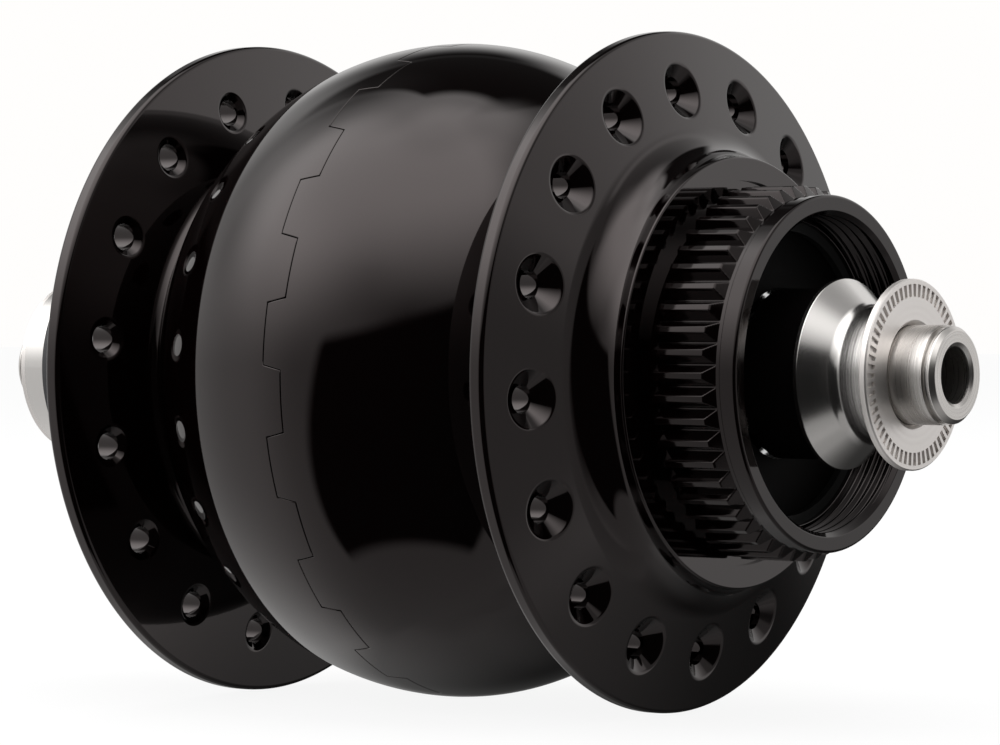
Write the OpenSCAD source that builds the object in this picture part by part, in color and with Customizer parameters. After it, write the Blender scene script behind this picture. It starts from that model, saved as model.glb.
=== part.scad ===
// Bicycle hub dynamo for a quick-release front wheel.
// The axle lies along Y, the brake-disc side is at +Y and the drive side at -Y.
// The origin is the middle of the hub, halfway between the two locking faces.
// Profiles are drawn as (radius, place along the axle) and spun round the axle.

/* [Axle] */
// Distance over the two locking faces
lock_width = 100; // [99:0.5:101]
// Whole length of the axle
axle_length = 108.8; // [108:0.1:110]
// Diameter over the thread at the free ends
thread_d = 9; // [8.9:0.1:9.2]
// Mean diameter of the thread, inside the pieces screwed on it
thread_mean_d = 8.4; // [8.3:0.05:8.6]
// Through bore for the quick-release skewer
skewer_bore_d = 5.2; // [5:0.1:5.4]
// Diameter of the shank that carries the bearings and the stator
shank_d = 12; // [11.8:0.1:12.2]
// Outer diameter of the collar that the stator is clamped against
collar_d = 17; // [16.5:0.5:18]
// Thickness of that collar
collar_w = 3; // [2.6:0.1:4]
// Width of the groove that the lead wires lie in
wire_groove_w = 3.4; // [3.2:0.1:4]
// Depth of the groove that the lead wires lie in
wire_groove_depth = 1.5; // [1.4:0.1:1.7]
// Width of the plain ring at each end of the axle
end_ring_w = 0.65; // [0.5:0.05:0.9]
// How much smaller than the thread that ring is, in radius
end_ring_step = 0.2; // [0.2:0.05:0.3]
// Width of the undercut behind that ring
undercut_w = 0.5; // [0.3:0.05:0.8]
// Depth of the undercut behind that ring
undercut_depth = 0.45; // [0.25:0.05:0.6]
// Chamfer of the axle's ends
axle_chamfer = 0.35; // [0.2:0.05:0.5]

/* [Shell] */
// Largest diameter of the barrel between the flanges
barrel_d = 63; // [62.6:0.1:64]
// Width of the barrel from its crown's middle to its side wall on the drive side
barrel_drive_w = 10.5; // [10.3:0.1:10.8]
// Radius of the barrel's crown, seen in section
crown_r = 24; // [22:0.5:25]
// Radius of the barrel's shoulder on the drive side
shoulder_r = 1.2; // [0.8:0.1:1.6]
// Place of the crown's middle along the axle
crown_at = 0.3; // [0:0.1:0.6]
// Diameter of the necks between the barrel and the flanges
neck_d = 41; // [40:0.5:43]
// Radius of the fillets at both ends of the drive-side neck
neck_fillet = 2.5; // [1.5:0.25:3]
// Radius of the fillet between the disc-side flange and its neck
groove_fillet = 0.5; // [0.3:0.1:0.6]
// Thickness of the barrel's wall over the magnets
barrel_wall = 3; // [2.6:0.1:3.2]
// Thickness of a neck's wall
neck_wall = 3; // [2.5:0.1:3.5]
// Width of the cavity that the magnets and the stator lie in
cavity_w = 18.4; // [18.2:0.1:18.4]
// Height of the step that stops the magnets' ring on the disc side
hollow_step = 2.3; // [2:0.1:3]
// How far the hollow tapers past that step
hollow_w = 7.5; // [6:0.5:8]
// Thickness of the web that each bearing is pressed against
web_w = 2.7; // [2:0.1:3.2]
// How far that web reaches in front of the bearing's outer ring
web_step = 1.4; // [1:0.1:1.8]
// Rounding in the corner between a neck and its web
web_round = 1.5; // [1:0.25:2]
// Place of the castellated joint's low line along the axle
joint_at = 0.15; // [0:0.05:0.4]
// Depth of the castellations
joint_depth = 1.95; // [1.5:0.05:2.4]
// Number of castellations round the barrel
joint_teeth = 16; // [12:1:20]
// Lean of each castellation's sides, in degrees round the axle
joint_lean = 0.85; // [0.4:0.05:1.5]
// Gap in the castellated joint
joint_gap = 0.06; // [0.04:0.01:0.12]

/* [Flanges] */
// Diameter of the flange on the disc side
flange_disc_d = 63.6; // [63:0.1:65]
// Diameter of the flange on the drive side
flange_drive_d = 64.2; // [63:0.1:65]
// Distance from the middle of the hub to the disc-side rim's inner edge
flange_disc_at = 23.4; // [23:0.1:24]
// Distance from the middle of the hub to the drive-side rim's inner edge
flange_drive_at = 24.2; // [23.8:0.1:24.6]
// Thickness of a flange at its rim
rim_w = 1.5; // [1.3:0.1:2]
// Rounding of the rim's edges
rim_round = 0.5; // [0.3:0.05:0.6]
// Slope of a flange's inner face, in degrees
inner_slope = 9; // [6:1:11]
// Slope of a flange's outer face, in degrees
outer_slope = 15; // [12:1:16]
// Diameter of the circle that the spoke holes lie on
spoke_circle_d = 52.5; // [52:0.1:54]
// Diameter of a spoke hole
spoke_hole_d = 2.6; // [2.4:0.1:2.8]
// Diameter of the countersink at each end of a spoke hole
spoke_sink_d = 5.4; // [4.8:0.1:5.8]
// Depth of that countersink below the face
spoke_sink_depth = 1.15; // [0.9:0.05:1.3]
// Number of spoke holes in one flange
spoke_holes = 16; // [14:1:18]
// Turn of the disc-side holes from the forward direction, in degrees
spoke_turn = 4.5; // [0:0.5:11]

/* [Disc mount] */
// Diameter of the boss that the brake disc seats on
boss_d = 40; // [39:0.5:41]
// Place of the face that the brake disc seats on
boss_face_at = 31.8; // [31.6:0.1:32.2]
// Radius of the concave flare between a flange and its boss
boss_flare = 4; // [3:0.25:4]
// Outer diameter of the spline teeth
spline_d = 34.4; // [34:0.1:34.8]
// Height of the spline teeth
spline_tooth_h = 1; // [0.8:0.1:1.1]
// Number of spline teeth
spline_teeth = 52; // [48:1:54]
// Width of a tooth's top, in percent of the pitch
spline_top = 34; // [30:1:40]
// Width of a tooth's foot, in percent of the pitch
spline_foot = 66; // [60:1:74]
// Diameter of the shallow recess in that face, round the foot of the teeth
seat_relief_d = 35.6; // [35.2:0.1:36.4]
// Depth of that recess
seat_relief_depth = 0.4; // [0.2:0.1:0.6]
// Width of the relief groove behind the teeth
spline_relief_w = 1; // [0.6:0.1:1.2]
// Length of the teeth
spline_length = 6.4; // [5.8:0.1:6.6]
// Length of the bevel at the teeth's front ends
spline_bevel = 0.8; // [0.5:0.1:1.2]
// Outer diameter of the lip in front of the teeth
lip_d = 32.7; // [32.5:0.1:33]
// Width of the plain band between the teeth and the lip
lip_gap = 0.4; // [0.2:0.1:0.5]
// Rounding of the lip's front edge
lip_round = 0.3; // [0.1:0.1:0.4]
// Rounding of the edge of the face that the brake disc seats on
boss_round = 0.2; // [0.1:0.1:0.4]
// Place of the lip's front face
lip_at = 41.3; // [41:0.1:41.6]
// Diameter inside the lock-ring thread in the lip
lockring_d = 29; // [28.8:0.1:29.4]
// Depth of the lock-ring thread
lockring_depth = 4.2; // [3.8:0.1:4.3]
// Chamfer at the mouth of the lock-ring thread
lockring_chamfer = 0.4; // [0.3:0.1:0.6]
// Diameter of the boss round the drive-side bearing
drive_boss_d = 34; // [33:0.5:35]
// Distance from the middle of the hub to the drive-side boss's end
drive_boss_at = 36.4; // [36.2:0.1:36.8]
// Rounding of that end's edge
drive_boss_round = 1; // [0.5:0.25:1.5]

/* [Bearings] */
// Outer diameter of a bearing
bearing_od = 28; // [27.8:0.1:28.2]
// Width of a bearing
bearing_w = 8; // [7.8:0.1:8.2]
// Distance from the middle of the hub to a bearing's outer face
bearing_at = 34.2; // [34:0.1:34.4]
// Diameter of the circle through the balls' middles
ball_circle_d = 20; // [19.9:0.1:20.1]
// Diameter of a ball
ball_d = 4.76; // [4.6:0.02:4.9]
// Number of balls in one bearing
ball_count = 8; // [7:1:9]
// Outer diameter of a bearing's inner ring
inner_ring_od = 16.2; // [16:0.1:16.4]
// Inner diameter of a bearing's outer ring
outer_ring_id = 23.8; // [23.6:0.1:24]
// Thickness of a ball cage
cage_wall = 1.4; // [1:0.1:1.6]
// Width of a ball cage
cage_w = 5.8; // [5.6:0.1:6]
// Thickness of a bearing's shield
shield_w = 0.5; // [0.4:0.1:0.6]
// Width of the seal outside each bearing
seal_w = 1.5; // [1.2:0.1:1.6]
// Diameter of the sleeves that the seals run on
sleeve_d = 15.6; // [15:0.1:16]
// Width of the sleeve on the drive side
sleeve_w = 3; // [2.8:0.1:3.2]
// Width of the snap ring that holds the disc-side bearing
snap_ring_w = 0.7; // [0.6:0.05:0.8]
// Radial height of the snap ring
snap_ring_h = 1.4; // [1.1:0.1:1.8]
// Depth of the snap ring's groove
snap_groove = 0.5; // [0.4:0.05:0.6]
// Opening of the snap ring, in degrees
snap_open = 36; // [24:2:50]

/* [Generator] */
// Thickness of the steel ring behind the magnets
flux_ring_wall = 1.8; // [1.6:0.1:2]
// Width of that ring
flux_ring_w = 17.6; // [16:0.1:17.9]
// Thickness of the magnets
magnet_h = 2.3; // [2:0.1:2.6]
// Number of magnets, which is also the number of poles
pole_count = 28; // [24:4:32]
// Air gap between the magnets and the stator
air_gap = 0.5; // [0.4:0.05:0.7]
// Distance over the stator's two pole plates
stator_w = 17; // [16:0.5:17]
// Thickness of a pole plate
plate_w = 2; // [1.8:0.1:2.4]
// Thickness of a claw, from the air gap inwards
claw_h = 2.5; // [2:0.1:2.8]
// Width of a claw
claw_w = 3.3; // [2.8:0.1:3.5]
// Gap between a pole plate's disc and the other plate's claws
claw_gap = 0.6; // [0.4:0.1:0.8]
// Outer diameter of the iron core round the shank
core_d = 20; // [19:0.5:21]
// Wall of the bobbin
bobbin_wall = 1; // [0.8:0.1:1.3]
// Thickness of the nut that clamps the stator
stator_nut_w = 4; // [3:0.5:5]
// Width of that nut across its flats
stator_nut_flats = 19; // [18:0.5:20]
// Outer diameter of the spacers between the stator and the bearings
spacer_d = 15.8; // [15:0.1:16]

/* [End pieces] */
// Diameter of the serrated washers
washer_d = 17.3; // [17:0.1:17.6]
// Thickness of the serrated washers
washer_w = 0.7; // [0.6:0.05:0.9]
// Inner diameter of the ring of serrations
serration_d = 14.1; // [13.8:0.1:14.4]
// Width of the plain rim outside the serrations
serration_rim = 0.5; // [0.3:0.05:0.6]
// Depth of the serrations
serration_depth = 0.25; // [0.15:0.05:0.35]
// Chamfer of a washer's bore at its serrated face
washer_chamfer = 0.6; // [0.5:0.05:0.9]
// Number of serrations
serration_count = 60; // [48:2:66]
// Width of one serration
serration_w = 0.4; // [0.3:0.02:0.44]
// Diameter of the end cap's rim
cap_rim_d = 17.4; // [17:0.1:17.8]
// Thickness of the end cap's rim
cap_rim_w = 0.45; // [0.35:0.05:0.6]
// Place of the end cap's rim along the axle
cap_rim_at = 42.9; // [42.7:0.1:43.2]
// Diameter of the end cap's neck
cap_neck_d = 12.4; // [12:0.1:12.8]
// Length of the end cap's flare from its rim to its neck
cap_flare_w = 2.4; // [2:0.1:3]
// Radius of the fillet between the flare and the neck
cap_fillet = 1.4; // [1:0.1:1.8]
// Diameter of the lock nut on the drive side
lock_nut_d = 17.5; // [17:0.1:18]
// Length of that lock nut
lock_nut_w = 4.8; // [4.4:0.1:5]

/* [Terminal block] */
// Diameter of the terminal block's ring round the axle
block_ring_d = 23; // [22:0.5:24]
// Width of the terminal block's arm
block_arm_w = 15; // [14.4:0.1:16]
// Distance from the axle to the end of the arm
block_reach = 26; // [25:0.5:28]
// Rounding of the arm's corners
block_round = 2; // [1:0.25:2.5]
// Depth of the slots that the terminals stand in
block_slot_depth = 9; // [8.5:0.5:10]
// Width of those slots
block_slot_w = 3.2; // [3:0.1:3.6]
// Wall between those slots and the shell's side of the block
block_slot_wall = 2; // [1.6:0.1:2.6]
// Wall between the slots and the channel of the lead wires
block_web = 2; // [1.5:0.1:2.5]
// Distance between the middles of the two terminals
blade_spacing = 6.4; // [6:0.1:7]
// Width of a terminal blade
blade_w = 2; // [1.8:0.1:2.2]
// Thickness of a terminal blade
blade_h = 0.6; // [0.5:0.1:0.8]
// How far a blade stands in its slot
blade_length = 7.5; // [6:0.5:8]
// Diameter of a lead wire
wire_d = 1.2; // [1:0.1:1.3]

/* [Clearances] */
// Radial clearance of pieces pressed or screwed together
seat_gap = 0.02; // [0.01:0.01:0.03]
// Gap along the axle between a bearing, its seal and the snap ring
side_gap = 0.1; // [0.05:0.05:0.2]
// Clearance of the balls in their raceways
ball_gap = 0.05; // [0.03:0.01:0.08]
// Clearance of the balls in their cages
cage_gap = 0.1; // [0.06:0.02:0.14]
// Gap between the shields and the inner rings
shield_gap = 0.2; // [0.15:0.05:0.3]
// Running clearance of the seals on their sleeves
seal_gap = 0.08; // [0.06:0.02:0.1]
// Clearance round the lead wires
wire_gap = 0.15; // [0.1:0.05:0.2]

/* [Hidden] */
$fn = 96;

axle_end = axle_length / 2;
lock_face = lock_width / 2;
shank_r = shank_d / 2;
thread_r = thread_d / 2;
thread_mean_r = thread_mean_d / 2;
shank_seat_r = shank_r + seat_gap;
thread_seat_r = thread_mean_r + seat_gap;

// The barrel's crown is one arc. It runs down to the neck on the disc side and ends at a wall on the drive side.
barrel_r = barrel_d / 2;
crown_centre_r = barrel_r - crown_r;
barrel_wall_at = crown_at - barrel_drive_w;
barrel_wall_r = crown_centre_r + sqrt(pow(crown_r, 2) - pow(barrel_drive_w, 2));
cavity_r = barrel_r - barrel_wall;
neck_r = neck_d / 2;
neck_bore_r = neck_r - neck_wall;
joint_pitch = 360 / joint_teeth;
spoke_pitch = 360 / spoke_holes;
spoke_r = spoke_circle_d / 2;

flux_ring_r = cavity_r - seat_gap;
magnet_r = flux_ring_r - flux_ring_wall - seat_gap;
stator_r = magnet_r - magnet_h - air_gap;
claw_inner_r = stator_r - claw_h;
plate_r = claw_inner_r - claw_gap;
claw_count = pole_count / 2;
pole_pitch = 360 / pole_count;
core_r = core_d / 2;
bobbin_r = core_r + seat_gap;
coil_r = bobbin_r + bobbin_wall + seat_gap;

bearing_mid = bearing_at - bearing_w / 2;
bearing_in = bearing_at - bearing_w;
bearing_r = bearing_od / 2;
bore_r = bearing_r + seat_gap;
ball_circle_r = ball_circle_d / 2;
race_r = ball_d / 2 + ball_gap;
sleeve_r = sleeve_d / 2;
seal_at = bearing_at + side_gap;
snap_ring_at = seal_at + seal_w + side_gap;

plate_face_drive = crown_at - stator_w / 2;
plate_face_disc = crown_at + stator_w / 2;
coil_face_drive = plate_face_drive + plate_w + bobbin_wall + seat_gap;
coil_face_disc = plate_face_disc - plate_w - bobbin_wall - seat_gap;
nut_end = plate_face_disc + stator_nut_w;
collar_end = plate_face_drive - collar_w;

washer_back = lock_face - washer_w;
nut_back = washer_back - lock_nut_w;
block_face = bearing_at + sleeve_w;
boss_r = boss_d / 2;
drive_boss_r = drive_boss_d / 2;
seat_relief_r = seat_relief_d / 2;
lockring_r = lockring_d / 2;
spline_r = spline_d / 2;
spline_root_r = spline_r - spline_tooth_h;
spline_start = boss_face_at + spline_relief_w;
spline_end = spline_start + spline_length;
lip_r = lip_d / 2;
lip_start = spline_end + lip_gap;

// How far each countersink's cone is carried on above the face.
sink_over = 0.8;

// The lead wires run in the shank's groove, from the coil to the terminal block.
wire_r = wire_d / 2;
wire_side = wire_r + wire_gap;
wire_lane_r = shank_r - wire_groove_depth + wire_side;
wire_coil_r = coil_r + wire_d;
wire_turn_at = (plate_face_drive + collar_end) / 2;
wire_exit_at = (block_face + nut_back) / 2;
slot_floor_x = block_reach - block_slot_depth;
channel_x = slot_floor_x - block_web;
wire_fork_x = channel_x - 2 * wire_d;

// Arcs, rounded corners and outlines made of rows of radius, place and corner radius.
function arc(centre_r, centre_at, r, a, b, n = 8) =
    [for (k = [0 : n]) let(t = a + (b - a) * k / n) [centre_r + r * cos(t), centre_at + r * sin(t)]];
function unit(v) = v / norm(v);
function swing(a) = a > 180 ? a - 360 : a < -180 ? a + 360 : a;
function corner(before, here, after, r) =
    r == 0 ? [here] :
    let(u = unit(before - here), w = unit(after - here), half = acos(u * w) / 2,
        middle = here + unit(u + w) * r / sin(half),
        p = here + u * r / tan(half) - middle, q = here + w * r / tan(half) - middle,
        from = atan2(p.y, p.x))
    arc(middle.x, middle.y, r, from, from + swing(atan2(q.y, q.x) - from));
function point(row) = [row.x, row.y];
function outline(rows) =
    let(count = len(rows))
    [for (k = [0 : count - 1])
        let(row = rows[k], r = len(row) > 2 ? row[2] : 0)
        each corner(point(rows[(k + count - 1) % count]), point(row), point(rows[(k + 1) % count]), r)];

// Faces of a flange: how far along the axle they lie at radius r.
function inner_face(rim_r, rim_at, r) = rim_at - (rim_r - r) * tan(inner_slope);
function outer_face(rim_r, rim_at, r) = rim_at + rim_w + (rim_r - r) * tan(outer_slope);

module spin() { rotate([-90, 0, 0]) rotate_extrude() children(); }
module along(from, to) { rotate([-90, 0, 0]) translate([0, 0, from]) linear_extrude(to - from) children(); }
module tube(outer_r, inner_r, from, to) {
    along(from, to) difference() { circle(outer_r); circle(inner_r); }
}
module round_axle(count, turn = 0) {
    for (k = [0 : count - 1]) rotate([0, turn + k * 360 / count, 0]) children();
}
module rays(count, width, reach, turn = 0) {
    for (k = [0 : count - 1]) rotate(turn + k * 360 / count) translate([0, -width / 2]) square([reach, width]);
}

// Axle: a shank with a collar, threaded ends, a skewer bore and a groove for the lead wires.
module axle_profile() {
    ring_at = axle_end - end_ring_w;
    ring_r = thread_r - end_ring_step;
    free_end = [
        [thread_mean_r, lock_face], [thread_r, lock_face], [thread_r, ring_at - undercut_w],
        [thread_r - undercut_depth, ring_at - undercut_w], [thread_r - undercut_depth, ring_at],
        [ring_r, ring_at], [ring_r, axle_end - axle_chamfer], [ring_r - axle_chamfer, axle_end],
        [skewer_bore_d / 2 + axle_chamfer, axle_end], [skewer_bore_d / 2, axle_end - axle_chamfer]
    ];
    last = len(free_end) - 1;
    polygon(concat(
        [[shank_r, bearing_at], [thread_mean_r, bearing_at]], free_end,
        [for (k = [last : -1 : 0]) [free_end[k].x, -free_end[k].y]],
        [[thread_mean_r, -nut_back], [shank_r, -nut_back], [shank_r, collar_end],
         [collar_d / 2, collar_end], [collar_d / 2, plate_face_drive], [shank_r, plate_face_drive]]
    ));
}
module axle() {
    groove_from = -(wire_exit_at + wire_side + wire_gap);
    color("silver") difference() {
        spin() axle_profile();
        translate([-collar_d, groove_from, -wire_groove_w / 2])
            cube([collar_d - shank_r + wire_groove_depth, plate_face_drive - groove_from, wire_groove_w]);
    }
}

// Stator: an iron core between two plates with claws, and a coil on its bobbin.
module wire_window() {
    translate([-wire_coil_r - wire_side, plate_face_drive - 1, -2 * wire_side])
        cube([2 * wire_side, plate_w + bobbin_wall + 1.5, 4 * wire_side]);
}
module pole_plate(from, to, turn) {
    along(plate_face_drive, plate_face_disc) intersection() {
        difference() { circle(stator_r); circle(claw_inner_r); }
        rays(claw_count, claw_w, stator_r + 1, turn);
    }
    along(from, to) difference() {
        union() {
            circle(plate_r);
            intersection() { circle(stator_r); rays(claw_count, claw_w, stator_r + 1, turn); }
        }
        circle(shank_seat_r);
    }
}
module pole_plate_disc() { color("gray") pole_plate(plate_face_disc - plate_w, plate_face_disc, 0); }
module pole_plate_drive() {
    color("gray") difference() {
        pole_plate(plate_face_drive, plate_face_drive + plate_w, pole_pitch);
        wire_window();
    }
}
module core_sleeve() {
    color("dimgray") tube(core_r, shank_seat_r, plate_face_drive + plate_w, plate_face_disc - plate_w);
}
module bobbin() {
    from = plate_face_drive + plate_w;
    to = plate_face_disc - plate_w;
    color("ivory") difference() {
        spin() polygon([
            [bobbin_r, from], [plate_r, from], [plate_r, from + bobbin_wall],
            [bobbin_r + bobbin_wall, from + bobbin_wall], [bobbin_r + bobbin_wall, to - bobbin_wall],
            [plate_r, to - bobbin_wall], [plate_r, to], [bobbin_r, to]
        ]);
        wire_window();
    }
}
module coil() { color("peru") tube(plate_r - 2 * claw_gap, coil_r, coil_face_drive, coil_face_disc); }
module stator_nut() {
    color("silver") along(plate_face_disc, nut_end) difference() {
        circle(stator_nut_flats / 2 / cos(30), $fn = 6);
        circle(shank_seat_r);
    }
}
module spacer_disc() { color("silver") tube(spacer_d / 2, shank_seat_r, nut_end, bearing_in); }
module spacer_drive() { color("silver") tube(spacer_d / 2, shank_seat_r, -bearing_in, collar_end); }

// Lead wires: straight runs joined by balls, out of the coil, down into the groove and out to the terminals.
module wire_run(a, b) {
    v = b - a;
    translate(a) rotate([0, acos(v.z / norm(v)), atan2(v.y, v.x)]) cylinder(r = wire_r, h = norm(v), $fn = 32);
}
module lead_wire(side) {
    points = [
        [-wire_coil_r, coil_face_drive - seat_gap, side * wire_side],
        [-wire_coil_r, wire_turn_at, side * wire_side],
        [-wire_lane_r, wire_turn_at, side * wire_side],
        [-wire_lane_r, -wire_exit_at, side * wire_side],
        [-wire_fork_x, -wire_exit_at, side * wire_side],
        [-wire_fork_x, -wire_exit_at, side * blade_spacing / 2],
        [-channel_x + seat_gap, -wire_exit_at, side * blade_spacing / 2]
    ];
    for (k = [1 : len(points) - 1]) wire_run(points[k - 1], points[k]);
    for (k = [1 : len(points) - 2]) translate(points[k]) sphere(r = wire_r, $fn = 32);
}
module lead_wires() { color("firebrick") { lead_wire(1); lead_wire(-1); } }

// Bearings: rings with a round raceway, caged balls, and a shield on both faces.
module race(inner_r, outer_r, middle_at) {
    spin() difference() {
        translate([inner_r, middle_at - bearing_w / 2]) square([outer_r - inner_r, bearing_w]);
        translate([ball_circle_r, middle_at]) circle(race_r);
    }
}
module inner_ring_disc() { color("lightgray") race(shank_seat_r, inner_ring_od / 2, bearing_mid); }
module inner_ring_drive() { color("lightgray") race(shank_seat_r, inner_ring_od / 2, -bearing_mid); }
module outer_ring_disc() { color("lightgray") race(outer_ring_id / 2, bearing_r, bearing_mid); }
module outer_ring_drive() { color("lightgray") race(outer_ring_id / 2, bearing_r, -bearing_mid); }
module balls(middle_at) {
    round_axle(ball_count) translate([ball_circle_r, middle_at, 0]) sphere(r = ball_d / 2, $fn = 48);
}
module balls_disc() { color("white") balls(bearing_mid); }
module balls_drive() { color("white") balls(-bearing_mid); }
module cage(middle_at) {
    difference() {
        tube(ball_circle_r + cage_wall / 2, ball_circle_r - cage_wall / 2,
             middle_at - cage_w / 2, middle_at + cage_w / 2);
        round_axle(ball_count) translate([ball_circle_r - cage_wall, middle_at, 0]) rotate([0, 90, 0])
            cylinder(r = ball_d / 2 + cage_gap, h = 2 * cage_wall, $fn = 48);
    }
}
module cage_disc() { color("goldenrod") cage(bearing_mid); }
module cage_drive() { color("goldenrod") cage(-bearing_mid); }
module shields(middle_at) {
    for (at = [middle_at - bearing_w / 2, middle_at + bearing_w / 2 - shield_w])
        tube(outer_ring_id / 2 - seat_gap, inner_ring_od / 2 + shield_gap, at, at + shield_w);
}
module shields_disc() { color("black") shields(bearing_mid); }
module shields_drive() { color("black") shields(-bearing_mid); }
module seal_disc() { color("black") tube(bearing_r, sleeve_r + seal_gap, seal_at, seal_at + seal_w); }
module seal_drive() { color("black") tube(bearing_r, sleeve_r + seal_gap, -seal_at - seal_w, -seal_at); }
module snap_ring() {
    ring_r = bore_r + snap_groove - seat_gap;
    color("gray") along(snap_ring_at, snap_ring_at + snap_ring_w) difference() {
        circle(ring_r);
        circle(ring_r - snap_ring_h);
        polygon([[0, 0], 2 * ring_r * [cos(snap_open / 2), sin(snap_open / 2)],
                 2 * ring_r * [cos(snap_open / 2), -sin(snap_open / 2)]]);
    }
}

// Rotor: a steel ring with alternate magnets, held in the barrel across the shell's joint.
module flux_ring() {
    color("slategray")
        tube(flux_ring_r, flux_ring_r - flux_ring_wall, crown_at - flux_ring_w / 2, crown_at + flux_ring_w / 2);
}
module magnets() {
    color("darkslategray") along(crown_at - flux_ring_w / 2, crown_at + flux_ring_w / 2) difference() {
        circle(magnet_r);
        circle(magnet_r - magnet_h);
        rays(pole_count, air_gap, magnet_r + 1, pole_pitch / 2);
    }
}

// Shell: two halves that meet in a castellated joint round the barrel.
function crown_arc(from_at, to_angle) =
    arc(crown_centre_r, crown_at, crown_r, asin((from_at - crown_at) / crown_r), to_angle, 20);
module joint_slots(turn, narrow_at, wide_at, gap, over) {
    narrow = barrel_r * sin((joint_pitch / 2 - joint_lean) / 2) + gap;
    wide = barrel_r * sin((joint_pitch / 2 + joint_lean) / 2) + gap;
    round_axle(joint_teeth, turn) translate([cavity_r - 1, 0, 0]) rotate([90, 0, 90])
        linear_extrude(barrel_wall + 2) polygon([
            [narrow_at, -narrow], [narrow_at, narrow], [wide_at, wide], [wide_at + over, wide],
            [wide_at + over, -wide], [wide_at, -wide]
        ]);
}
module countersink(tilt, turned) {
    slope = (spoke_sink_d - spoke_hole_d) / 2 / spoke_sink_depth;
    point_r = spoke_hole_d / 4;
    rotate([0, 0, tilt]) rotate([turned, 0, 0]) translate([0, 0, (point_r - spoke_sink_d / 2) / slope])
        cylinder(r1 = point_r, r2 = spoke_sink_d / 2 + slope * sink_over,
                 h = (spoke_sink_d / 2 - point_r) / slope + sink_over, $fn = 48);
}
module spoke_drills(rim_r, rim_at, side, turn) {
    low = inner_face(rim_r, rim_at, spoke_r);
    high = outer_face(rim_r, rim_at, spoke_r);
    round_axle(spoke_holes, turn) translate([spoke_r, 0, 0]) {
        translate([0, side * high, 0]) countersink(-side * outer_slope, -90 * side);
        translate([0, side * low, 0]) countersink(side * inner_slope, 90 * side);
        rotate([-90 * side, 0, 0]) translate([0, 0, low - 1])
            cylinder(d = spoke_hole_d, h = high - low + 2, $fn = 48);
    }
}
module spline() {
    pitch = 360 / spline_teeth;
    foot = spline_root_r * sin(pitch / 2) * spline_foot / 100;
    top = spline_r * sin(pitch / 2) * spline_top / 100;
    web_r = spline_root_r - spline_tooth_h;
    intersection() {
        along(spline_start, spline_end) difference() {
            union() {
                circle(spline_root_r);
                intersection() {
                    circle(spline_r);
                    for (k = [0 : spline_teeth - 1]) rotate(k * pitch) polygon([
                        [web_r, -foot], [spline_root_r, -foot], [spline_r + 0.1, -top],
                        [spline_r + 0.1, top], [spline_root_r, foot], [web_r, foot]
                    ]);
                }
            }
            circle(web_r);
        }
        spin() polygon([
            [web_r - 1, spline_start - 1], [spline_r + 1, spline_start - 1], [spline_r + 1, spline_end - spline_bevel],
            [spline_r, spline_end - spline_bevel], [spline_root_r, spline_end], [web_r - 1, spline_end]
        ]);
    }
}
module shell_disc_side() {
    rim_r = flange_disc_d / 2;
    color("black") difference() {
        union() {
            spin() polygon(outline(concat(crown_arc(joint_at, acos((neck_r - crown_centre_r) / crown_r)), [
                [neck_r, inner_face(rim_r, flange_disc_at, neck_r), groove_fillet],
                [rim_r, flange_disc_at, rim_round], [rim_r, flange_disc_at + rim_w, rim_round],
                [boss_r, outer_face(rim_r, flange_disc_at, boss_r), boss_flare],
                [boss_r, boss_face_at, boss_round], [seat_relief_r, boss_face_at],
                [seat_relief_r, boss_face_at - seat_relief_depth], [spline_root_r, boss_face_at - seat_relief_depth],
                [spline_root_r, lip_start], [lip_r, lip_start, lip_round / 3], [lip_r, lip_at, lip_round],
                [lockring_r + lockring_chamfer, lip_at], [lockring_r, lip_at - lockring_chamfer],
                [lockring_r, lip_at - lockring_depth], [bore_r, lip_at - lockring_depth],
                [bore_r, bearing_in], [bearing_r - web_step, bearing_in],
                [bearing_r - web_step, bearing_in - web_w], [neck_bore_r, bearing_in - web_w, web_round],
                [neck_bore_r, crown_at + cavity_w / 2 + hollow_w], [cavity_r - hollow_step, crown_at + cavity_w / 2],
                [cavity_r, crown_at + cavity_w / 2], [cavity_r, joint_at]
            ])));
            spline();
        }
        spoke_drills(rim_r, flange_disc_at, 1, spoke_turn);
        tube(bore_r + snap_groove, bearing_r - 1, snap_ring_at - seat_gap, snap_ring_at + snap_ring_w + seat_gap);
        joint_slots(spoke_turn, joint_at + joint_depth, joint_at, 0, -1);
    }
}
module shell_drive_side() {
    rim_r = flange_drive_d / 2;
    top = joint_at + joint_depth - joint_gap;
    color("black") difference() {
        spin() polygon(outline(concat(crown_arc(top, -asin((barrel_drive_w - shoulder_r) / crown_r)), [
            [barrel_wall_r, barrel_wall_at, shoulder_r], [neck_r, barrel_wall_at, neck_fillet],
            [neck_r, -inner_face(rim_r, flange_drive_at, neck_r), neck_fillet],
            [rim_r, -flange_drive_at, rim_round], [rim_r, -flange_drive_at - rim_w, rim_round],
            [drive_boss_r, -outer_face(rim_r, flange_drive_at, drive_boss_r), boss_flare],
            [drive_boss_r, -drive_boss_at, drive_boss_round], [bore_r, -drive_boss_at],
            [bore_r, -bearing_in], [bearing_r - web_step, -bearing_in],
            [bearing_r - web_step, web_w - bearing_in], [neck_bore_r, web_w - bearing_in, web_round],
            [neck_bore_r, crown_at - cavity_w / 2], [cavity_r, crown_at - cavity_w / 2], [cavity_r, top]
        ])));
        spoke_drills(rim_r, flange_drive_at, -1, spoke_turn + spoke_pitch / 2);
        joint_slots(spoke_turn + joint_pitch / 2, joint_at - joint_gap, joint_at + joint_depth, joint_gap, 1);
    }
}

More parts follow.
